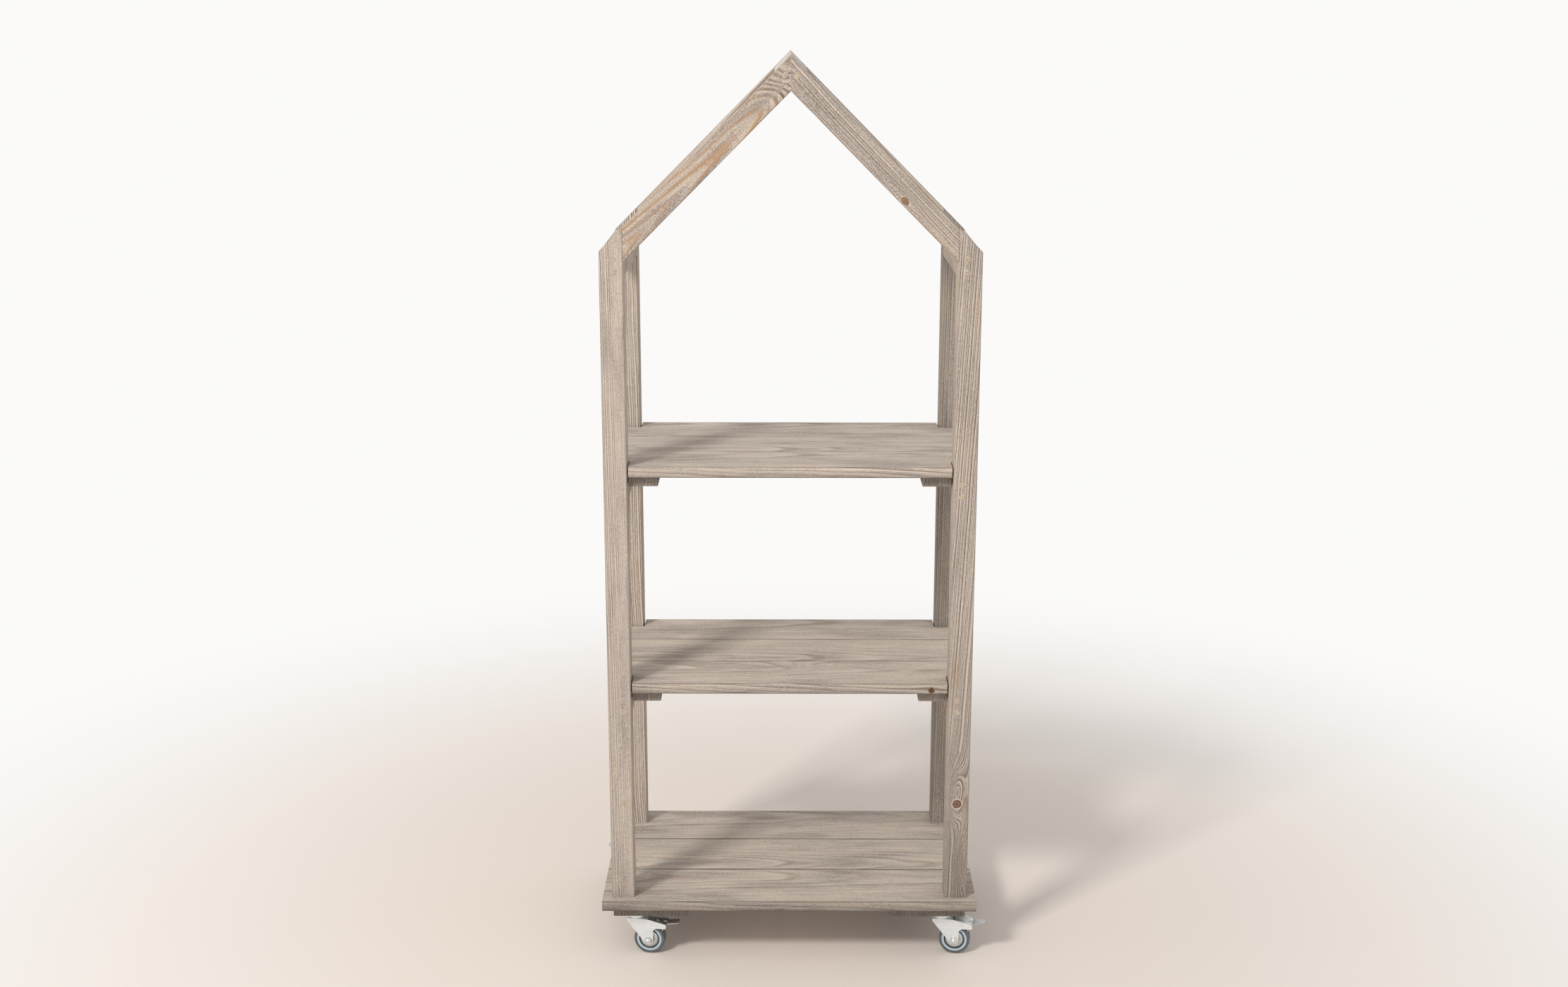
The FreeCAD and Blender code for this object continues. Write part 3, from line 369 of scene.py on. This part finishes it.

# Posts: the left one is straight-grained; the right one has a knot near its foot, and the grain flows
# round it. Both front posts are darkened towards their feet as painted shade, the right one most.
posts = {
    "section": (20, 18),
    "front_left": {"pith": (24, 150),
                   "look": {"seed": 1.3, "ringMm": 2.9, "driftMm": 2, "calm": (-6, 8), "rubbed": 0.2,
                            "contrast": 1.25, "footShade": 0.92}},
    "front_right": {
        "pith": (30, -130),
        "look": {"seed": 2.7, "ringMm": 3.3, "driftMm": 3, "driftLengthMm": 340, "contrast": 1.5,
                 "taper": 0.05, "calm": (18, 14), "rubbed": 0.4, "tone": 0.95, "footShade": 0.72},
        "knots": [{"at": (266, -167, 268), "face": "front", "radiusMm": 7.2, "flowMm": (44, 18), "squat": 1.0,
                   "heart": "#8b7064", "rim": "#6c5347", "halo": "#dccfc1"}],
        "ovals": [{"at": (265, -167, 288), "face": "front", "sizeMm": (44, 14), "swellMm": -24},
                  {"at": (284, -167, 166), "face": "front", "sizeMm": (34, 15), "swellMm": -24}],
    },
    "rear_left": {"pith": (-60, 70), "look": {"seed": 4.1, "ringMm": 3.0, "driftMm": 8, "driftLengthMm": 260,
                                              "contrast": 1.5}},
    # the rear right post's tone darkens it all over as painted shade
    "rear_right": {"pith": (-70, -60), "look": {"seed": 5.9, "ringMm": 3.0, "stipple": 0.7, "tone": 0.7}},
}
for name in cornerNames:
    post = posts[name]
    node = f"post_{name}"
    dress(cad[node], pineMaterial(node, grainUp, posts["section"], post["pith"], post["look"],
                                  post.get("knots", ()), post.get("ovals", ())))

# Rafters: the front left one is cut close to the pith, with long flame figures, the wash rubbed thin, and
# dark arcs where it meets the other at the top.
rafters = {
    "section": (20, 18),
    "lean": {"left": 45, "right": 135},
    "front_left": {
        "pith": (-25, 1),
        "look": {"seed": 7.7, "ringMm": 7, "lineShare": 0.6, "driftMm": 6, "driftLengthMm": 190,
                 "taper": 0.07, "line": "#be9363", "cream": "#d8c9b5", "grey": "#978f8a", "wash": "#aea49d",
                 "warm": "#c1b2a3", "rubbed": 0.3, "patchMm": (190, 12), "stipple": 0.9,
                 "speckStretch": 0.65},
        "ovals": [{"at": (4, -167, 1410), "face": "front", "sizeMm": (46, 34), "swellMm": 46,
                   "line": "#66564b", "lineReach": 2.5}],
    },
    "front_right": {
        "pith": (10, -120),
        "look": {"seed": 8.4, "ringMm": 4.0, "driftMm": 5, "driftLengthMm": 260, "contrast": 1.0,
                 "rubbed": 0.35, "stipple": 0.9, "speckStretch": 0.6, "tone": 0.9},
        "knots": [{"at": (168, -167, 1220), "face": "front", "radiusMm": 4.5, "flowMm": (26, 10),
                   "squat": 0.7, "heart": "#ad8c6d", "rim": "#765b47", "halo": "#bfa88d"}],
    },
    "rear_left": {"pith": (50, 40), "look": {"seed": 9.6}},
    "rear_right": {"pith": (45, -50), "look": {"seed": 10.2}},
}
for name in cornerNames:
    rafter = rafters[name]
    node = f"rafter_{name}"
    lean = math.radians(rafters["lean"][name.split("_")[1]])
    dress(cad[node], pineMaterial(node, (0, lean, 0), rafters["section"], rafter["pith"], rafter["look"],
                                  rafter.get("knots", ()), rafter.get("ovals", ())))

# Rails and battens. The battens are rough-sawn and drawn darker by their tone.
barSeeds = {"first": 12.3, "kind": 2.7, "left": 1.1, "right": 0.0}
bars = {
    "lower_rail": {"section": (18, 20), "pith": (30, 70), "look": {}},
    "upper_rail": {"section": (18, 20), "pith": (21, 70), "look": {}},
    "eave_rail": {"section": (18, 20), "pith": (12, 70), "look": {}},
    "lower_batten": {"section": (22.5, 8), "pith": (120, 20), "look": {"tone": 0.5, "stipple": 0.7}},
    "upper_batten": {"section": (22.5, 8), "pith": (120, 20), "look": {"tone": 0.5, "stipple": 0.7}},
    "base_batten": {"section": (61, 8), "pith": (200, 10),
                    "look": {"tone": 0.42, "stipple": 0.6, "ringMm": 3.4}},
}
for k, (kind, bar) in enumerate(bars.items()):
    for side in sides:
        look = dict(bar["look"], seed=barSeeds["first"] + barSeeds["kind"] * k + barSeeds[side])
        node = f"{kind}_{side}"
        dress(cad[node], pineMaterial(node, grainBack, bar["section"], bar["pith"], look))
ridge = {"section": (25.5, 25.5), "pith": (40, 90),
         "look": {"seed": 30.1, "wash": "#ddd4cc", "grey": "#d2c8c0", "warm": "#e3dad2", "contrast": 0.3,
                  "stipple": 0.2}}
dress(cad["ridge_rail"],
      pineMaterial("ridge_rail", grainBack, ridge["section"], ridge["pith"], ridge["look"]))

# Planks: planed smoother than the frame, with long faint streaks and dark seams from one to the next;
# the seams come from their darkened arrises, partly wear and partly painted shade.
plankSeeds = {"first": 40, "level": 3.3, "row": 1.7}
planks = {
    "look": {"ringMm": 4.6, "driftMm": 8, "driftLengthMm": 300, "contrast": 0.5, "stipple": 0.45,
             "rubbed": 0.25, "reliefMm": 0.3, "taper": 0.03, "grey": "#a6998e", "warm": "#d4c6b6",
             "edgeContrast": 1.8, "edge": "#6c6056", "wear": (0.3, 0.8)},
    "rows": {"front": (38, -62), "middle": (-30, -54), "rear": (45, -70)},      # the pith of each
    "base": {"section": (60.3, 8.5), "look": {"sideTone": 0.62, "edgeContrast": 1.2}},
    "lower": {"section": (54.6, 8.5), "look": {"sideTone": 0.77, "tone": 1.06}},
    "upper": {"section": (54.6, 8.5), "look": {"sideTone": 0.9}},
    # knots and ovals
    "marks": {"lower_plank_front": (
        [{"at": (222, -165, 458), "face": "front", "radiusMm": 4.5, "flowMm": (24, 9), "squat": 1.0,
          "heart": "#4e3a2d", "rim": "#644b3a", "halo": "#8b7159"}],
        [{"at": (150, -75, 469), "face": "top", "sizeMm": (110, 16), "swellMm": 26}])},
}
for k, level in enumerate(("base", "lower", "upper")):
    for j, (row, pith) in enumerate(planks["rows"].items()):
        node = f"{level}_plank_{row}"
        seed = plankSeeds["first"] + plankSeeds["level"] * k + plankSeeds["row"] * j
        look = dict(planks["look"], seed=seed, **planks[level]["look"])
        knots, ovals = planks["marks"].get(node, ((), ()))
        dress(cad[node], pineMaterial(node, grainAcross, planks[level]["section"], pith, look, knots, ovals))
print("pine done")

surface = {"mergeMm": 0.001, "sharpFrom": 35}      # degrees


def placePiece(name, shape, material, body):
    bmesh.ops.remove_doubles(shape, verts=shape.verts, dist=surface["mergeMm"] * mm)
    bmesh.ops.recalc_face_normals(shape, faces=shape.faces)
    mesh = bpy.data.meshes.new(name)
    shape.to_mesh(mesh)
    shape.free()
    mesh.shade_smooth()
    mesh.set_sharp_from_angle(angle=math.radians(surface["sharpFrom"]))
    piece = bpy.data.objects.new(name, mesh)
    scene.collection.objects.link(piece)
    dress(piece, material)
    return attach(piece, body)


def turnOutline(shape, outline, steps):
    # a closed outline of radius and height in mm, turned about Z
    corners = [shape.verts.new((radius * mm, 0, height * mm)) for radius, height in outline]
    edges = [shape.edges.new(pair) for pair in zip(corners, corners[1:] + corners[:1])]
    bmesh.ops.spin(shape, geom=corners + edges, cent=(0, 0, 0), axis=(0, 0, 1), angle=math.tau, steps=steps,
                   use_merge=True)


# Filler: sawdust and glue pressed over the screw heads and wiped; it dries speckled and stays a little proud.
filler = {
    "gritMm": 1.5, "gritStops": (0.4, 0.58), "reliefMm": 0.5, "roughness": 0.9,
    "left": {"pale": "#cbbfb2", "dark": "#ab9d8e"},
    "right": {"pale": "#d6c8b4", "dark": "#a3927d"},
    "radiusMm": 4.9, "topShare": 0.8, "proudMm": 0.25, "sunkMm": 0.15, "steps": 18,
    "lobes": ((2, 0.12, 1.7), (3, 0.07, 2.9)),      # how many, how far out, and the turn from dab to dab
    "wiped": (0.92, 1.1),                           # the stretch of every third dab, and of the others
    "postX": 263, "levels": (423, 441, 771, 789, 1115, 1133), "ridge": (9, 1401),
}


def fillerMaterial(name, pale, dark):
    material, tree, shader = newMaterial(name)
    place = addNode(tree, "TexCoord", out="Object")
    grit = addNode(tree, "TexNoise", {"Vector": place, "Scale": 1 / (filler["gritMm"] * mm), "Detail": 4.0,
                                      "Roughness": 0.7})
    tints = (hexColour(dark), hexColour(pale))
    colour = addNode(tree, "ValToRGB", {0: grit}, zip(filler["gritStops"], tints))
    bump = addNode(tree, "Bump", {"Height": grit, "Distance": filler["reliefMm"] * mm, "Strength": 1.0})
    tree.links.new(colour, shader.inputs["Base Color"])
    tree.links.new(bump, shader.inputs["Normal"])
    shader.inputs["Roughness"].default_value = filler["roughness"]
    return material


def fillerDab(shape, x, z, face, count):
    radius = filler["radiusMm"] * mm
    dab = bmesh.ops.create_cone(shape, cap_ends=True, cap_tris=False, segments=filler["steps"],
                                radius1=radius, radius2=filler["topShare"] * radius,
                                depth=(filler["proudMm"] + filler["sunkMm"]) * mm)["verts"]
    stretch = filler["wiped"][1 if count % 3 else 0]
    for vert in dab:
        around = math.atan2(vert.co.y, vert.co.x)
        swell = 1 + sum(out * math.sin(lobes * around + turn * count) for lobes, out, turn in filler["lobes"])
        vert.co.x *= swell
        vert.co.y *= swell * stretch
    lift = (filler["proudMm"] - filler["sunkMm"]) / 2 * mm
    tip = Matrix.Rotation(math.radians(90 if face < 0 else -90), 4, "X")
    seat = Matrix.Translation((x * mm, face + math.copysign(lift, face), z * mm))
    bmesh.ops.transform(shape, matrix=seat @ tip, verts=dab)


for side, sign in zip(sides, (-1, 1)):
    shape = bmesh.new()
    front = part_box(f"post_front_{side}")[0].y
    seats = [(filler["postX"], z) for z in filler["levels"]] + [filler["ridge"]]
    for k, (x, z) in enumerate(seats):
        # the counts only make one dab unlike the next
        fillerDab(shape, sign * x, z, front, k + 2 * sign)
        fillerDab(shape, sign * x, z, -front, k + 5 * sign)
    material = fillerMaterial(f"woodFiller_{side}", filler[side]["pale"], filler[side]["dark"])
    placePiece(f"fillerDabs_{side}", shape, material, "frame")
dress(cad["screw_fillers"],
      fillerMaterial("woodFiller_plugs", filler["left"]["pale"], filler["left"]["dark"]))
print("filler done")

# Steel, pressed and zinc plated: pale satin with a faint cloud from the bath. The pedal is chromed darker.
metals = {
    "satinZinc": {"pale": "#eff4f7", "dark": "#e6ecef",
                  "roughness": (0.28, 0.38), "cloudMm": 9, "metallic": 0.6},
    "coverZinc": {"pale": "#d3d7d7", "dark": "#c2c7c8",
                  "roughness": (0.34, 0.46), "cloudMm": 6, "metallic": 0.85},
    "brightZinc": {"pale": "#e6e7e8", "dark": "#cdd0d1",
                   "roughness": (0.16, 0.28), "cloudMm": 5, "metallic": 1.0},
    "darkChrome": {"pale": "#d2d4d3", "dark": "#b9bcbb",
                   "roughness": (0.26, 0.36), "cloudMm": 7, "metallic": 0.9},
}
metalCloud = {"tintStops": (0.35, 0.65), "roughStops": (0.3, 0.7)}


def metalMaterial(name):
    p = metals[name]
    material, tree, shader = newMaterial(name)
    place = addNode(tree, "TexCoord", out="Object")
    cloud = addNode(tree, "TexNoise", {"Vector": place, "Scale": 1 / (p["cloudMm"] * mm), "Detail": 4.0,
                                       "Roughness": 0.6})
    tints = (hexColour(p["dark"]), hexColour(p["pale"]))
    colour = addNode(tree, "ValToRGB", {0: cloud}, zip(metalCloud["tintStops"], tints))
    rough = addNode(tree, "MapRange", {"Value": cloud, **ends("From", metalCloud["roughStops"]),
                                       **ends("To", p["roughness"])})
    tree.links.new(colour, shader.inputs["Base Color"])
    tree.links.new(rough, shader.inputs["Roughness"])
    shader.inputs["Metallic"].default_value = p["metallic"]
    return material


satinZinc = metalMaterial("satinZinc")
coverZinc = metalMaterial("coverZinc")
brightZinc = metalMaterial("brightZinc")
darkChrome = metalMaterial("darkChrome")
for name in cornerNames:
    dress(cad[f"castor_head_{name}"], satinZinc)
    dress(cad[f"castor_fork_{name}"], satinZinc)
    dress(cad[f"axle_bolt_{name}"], brightZinc)
    dress(cad[f"brake_pedal_{name}"], darkChrome)
for node in ("kingpins", "swivel_balls", "stem_sockets", "plank_screws", "frame_screws"):
    dress(cad[node], brightZinc)

# Axle bolts with a flanged lock nut and the thread showing past it. Heights run along the axle.
axles = {"flats": 10, "cheek": 13.6, "headHigh": 4, "nutFrom": 14.5, "nutTo": 17.9,
         "bevel": 0.4, "bevelSteps": 2, "steps": 24,
         "flange": [(3, 13.6), (6.5, 13.6), (6.5, 14.1), (6.1, 14.5), (3, 14.5)],
         "collar": [(3, 17.9), (4.7, 17.9), (4.6, 18.3), (4.0, 18.6), (3, 18.6)],
         "shank": [(0, -13.7), (3, -13.7), (3, 18.4), (2.6, 18.7), (3, 19.0), (2.6, 19.3), (3, 19.6),
                   (2.3, 20.1), (0, 20.1)]}


def hexBlock(shape, fromHigh, toHigh):
    corner = axles["flats"] / math.sqrt(3) * mm
    block = bmesh.ops.create_cone(shape, cap_ends=True, cap_tris=False, segments=6, radius1=corner,
                                  radius2=corner, depth=(toHigh - fromHigh) * mm)["verts"]
    bmesh.ops.translate(shape, verts=block, vec=(0, 0, (fromHigh + toHigh) / 2 * mm))
    edges = list(dict.fromkeys(edge for vert in block for edge in vert.link_edges))
    bmesh.ops.bevel(shape, geom=edges, offset=axles["bevel"] * mm, segments=axles["bevelSteps"], profile=0.5,
                    affect="EDGES", material=-1)


# Wheel covers: thin pressed dishes, one on each face of the wheel's disc.
covers = {"outline": [(7.3, 7.1), (7.3, 8.5), (8.2, 9.0), (11.2, 8.9), (13.0, 8.4), (14.0, 7.6), (14.2, 7.1)],
          "steps": 56}
axlePlaces = {}
for name in cornerNames:
    joint = joints[f"spin_{name}"]
    outward = -Vector(joint["axis"])         # the nut's side
    axlePlaces[name] = (Vector(joint["pos_m"]), outward)
    stand = Matrix.Translation(joint["pos_m"]) @ outward.to_track_quat("Z", "Y").to_matrix().to_4x4()
    shape = bmesh.new()
    for outline in (axles["flange"], axles["collar"], axles["shank"]):
        turnOutline(shape, outline, axles["steps"])
    hexBlock(shape, axles["nutFrom"], axles["nutTo"])
    hexBlock(shape, -axles["cheek"] - axles["headHigh"], -axles["cheek"])
    bmesh.ops.transform(shape, matrix=stand, verts=shape.verts)
    bolt = placePiece(f"axleBolt_{name}", shape, brightZinc, f"fork_{name}")
    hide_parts(f"axle_bolt_{name}")
    shape = bmesh.new()
    turnOutline(shape, covers["outline"], covers["steps"])
    turnOutline(shape, [(radius, -high) for radius, high in covers["outline"]], covers["steps"])
    bmesh.ops.transform(shape, matrix=stand, verts=shape.verts)
    placePiece(f"wheelCovers_{name}", shape, coverZinc, f"wheel_{name}")
print("metal done")

# Castor wheels: moulded polypropylene with a blue-grey ring outside a groove, whose shade is painted as a
# dark band, and a soft grey tread.
wheels = {"radiusMm": 25, "disc": "#c3c6c6", "grooveShade": "#4c575e", "ring": "#a9bcc6", "ringPale": "#c3d3da",
          "lip": "#5a6166", "roughness": 0.4,
          # from the axle out, as shares of the radius
          "bands": ((0.0, "disc"), (0.57, "disc"), (0.59, "grooveShade"), (0.655, "grooveShade"), (0.68, "ring"),
                    (0.75, "ringPale"), (0.815, "ring"), (0.83, "lip")),
          "grainMm": 1.2, "grainStops": (0.3, 0.7), "grainShades": (0.92, 1.04)}
treads = {"tread": "#555b60", "dust": "#7a7f82", "dustMm": 3, "dustStops": (0.4, 0.75), "reliefMm": 0.1,
          "relief": 0.5, "roughness": 0.6}


def wheelMaterial(name):
    middle, outward = axlePlaces[name]
    turn = Euler((0, 0, math.atan2(outward.x, outward.y)))
    material, tree, shader = newMaterial(f"wheelPolypropylene_{name}")
    place = addNode(tree, "TexCoord", out="Object")
    local = addNode(tree, "Mapping", {"Vector": place, "Rotation": turn,
                                      "Location": -(turn.to_matrix() @ middle)})
    away = addNode(tree, "VectorMath", {0: local, 1: (1, 0, 1)}, operation="MULTIPLY")
    away = addNode(tree, "VectorMath", {0: away}, out="Value", operation="LENGTH")
    share = addNode(tree, "Math", {0: away, 1: wheels["radiusMm"] * mm}, operation="DIVIDE")
    bands = [(stop, hexColour(wheels[key])) for stop, key in wheels["bands"]]
    colour = addNode(tree, "ValToRGB", {0: share}, bands)
    grain = addNode(tree, "TexNoise", {"Vector": place, "Scale": 1 / (wheels["grainMm"] * mm), "Detail": 2.0})
    fleck = addNode(tree, "MapRange", {"Value": grain, **ends("From", wheels["grainStops"]),
                                       **ends("To", wheels["grainShades"])})
    colour = addNode(tree, "Mix", {0: 1.0, 6: colour, 7: fleck}, out=2, data_type="RGBA",
                     blend_type="MULTIPLY")
    tree.links.new(colour, shader.inputs["Base Color"])
    shader.inputs["Roughness"].default_value = wheels["roughness"]
    return material


def treadMaterial():
    material, tree, shader = newMaterial("thermoplasticRubber")
    place = addNode(tree, "TexCoord", out="Object")
    dust = addNode(tree, "TexNoise", {"Vector": place, "Scale": 1 / (treads["dustMm"] * mm), "Detail": 4.0,
                                      "Roughness": 0.7})
    tints = (hexColour(treads["tread"]), hexColour(treads["dust"]))
    colour = addNode(tree, "ValToRGB", {0: dust}, zip(treads["dustStops"], tints))
    bump = addNode(tree, "Bump", {"Height": dust, "Distance": treads["reliefMm"] * mm,
                                  "Strength": treads["relief"]})
    tree.links.new(colour, shader.inputs["Base Color"])
    tree.links.new(bump, shader.inputs["Normal"])
    shader.inputs["Roughness"].default_value = treads["roughness"]
    return material


rubber = treadMaterial()
for name in cornerNames:
    dress(cad[f"castor_wheel_{name}"], wheelMaterial(name))
    dress(cad[f"castor_tyre_{name}"], rubber)
print("wheels done")

# Floor, light and camera, in metres. The floor turns into the white background away from the shelf, for the
# eye only.
stage = {"floor": "#f0e6dd", "floorRoughness": 0.7, "white": "#fbfaf9", "fade": (0.55, 2.0), "reach": 30.0,
         "room": 0.64}      # strength of the light from all round


def seenDirectly(tree):
    path = addNode(tree, "LightPath", out=None).outputs
    seen = addNode(tree, "Math", {0: path["Is Camera Ray"], 1: path["Is Glossy Ray"]}, operation="MAXIMUM")
    return addNode(tree, "Math", {0: seen, 1: path["Is Transmission Ray"]}, operation="MAXIMUM")


def makeFloor():
    shape = bmesh.new()
    bmesh.ops.create_grid(shape, x_segments=1, y_segments=1, size=stage["reach"])
    mesh = bpy.data.meshes.new("floor")
    shape.to_mesh(mesh)
    shape.free()
    floor = bpy.data.objects.new("floor", mesh)
    scene.collection.objects.link(floor)
    material, tree, shader = newMaterial("paleFloor")
    shader.inputs["Base Color"].default_value = hexColour(stage["floor"])
    shader.inputs["Roughness"].default_value = stage["floorRoughness"]
    place = addNode(tree, "TexCoord", out="Object")
    away = addNode(tree, "VectorMath", {0: place}, out="Value", operation="LENGTH")
    fade = addNode(tree, "MapRange", {"Value": away, **ends("From", stage["fade"])},
                   interpolation_type="SMOOTHSTEP")
    fade = addNode(tree, "Math", {0: fade, 1: seenDirectly(tree)}, operation="MULTIPLY")
    glow = addNode(tree, "Emission", {"Color": hexColour(stage["white"]), "Strength": 1.0})
    both = addNode(tree, "MixShader", {0: fade, 1: shader.outputs["BSDF"], 2: glow})
    output = next(node for node in tree.nodes if node.type == "OUTPUT_MATERIAL")
    tree.links.new(both, output.inputs["Surface"])
    dress(floor, material)


def makeWorld():
    world = bpy.data.worlds.new("paleRoom")
    scene.world = world
    world.use_nodes = True
    tree = world.node_tree
    tree.nodes.clear()
    strength = addNode(tree, "MapRange", {"Value": seenDirectly(tree), **ends("To", (stage["room"], 1.0))})
    back = addNode(tree, "Background", {"Color": hexColour(stage["white"]), "Strength": strength})
    addNode(tree, "OutputWorld", {"Surface": back}, out=None)


lamps = {
    "windowLamp": {"at": (-3.4, -4.4, 5.3), "aim": (0, 0, 0.6), "size": 1.15, "watts": 262,
                   "colour": "#fffaf6"},
    "fillLamp": {"at": (2.8, -3.6, 1.6), "aim": (0, 0, 0.7), "size": 2.5, "watts": 4,
                 "colour": "#f4f6ff"},
}


def makeLamp(name, p):
    data = bpy.data.lights.new(name, "AREA")
    data.size = p["size"]
    data.energy = p["watts"]
    data.color = hexColour(p["colour"])[:3]
    lamp = bpy.data.objects.new(name, data)
    lamp.location = p["at"]
    lamp.rotation_euler = (Vector(p["aim"]) - Vector(p["at"])).to_track_quat("-Z", "Y").to_euler()
    scene.collection.objects.link(lamp)


# fitted to the straight edges of the photograph; focal and width are in its pixels, sensor in mm
view = {"at": (-0.0094, -3.0567, 1.5005), "pitch": 14.069, "roll": 0.0894, "focal": 2769.5, "width": 2224,
        "sensor": 36, "clipEnd": 100}


def makeCamera():
    data = bpy.data.cameras.new("camera")
    data.sensor_width = view["sensor"]
    data.lens = view["focal"] * view["sensor"] / view["width"]
    data.clip_end = view["clipEnd"]
    camera = bpy.data.objects.new("camera", data)
    camera.location = view["at"]
    camera.rotation_euler = (math.radians(90 - view["pitch"]), 0, 0)
    camera.rotation_euler.rotate_axis("Z", math.radians(view["roll"]))
    scene.collection.objects.link(camera)
    scene.camera = camera


makeFloor()
makeWorld()
for name, p in lamps.items():
    makeLamp(name, p)
makeCamera()
scene.view_settings.view_transform = "Standard"
print("stage done")
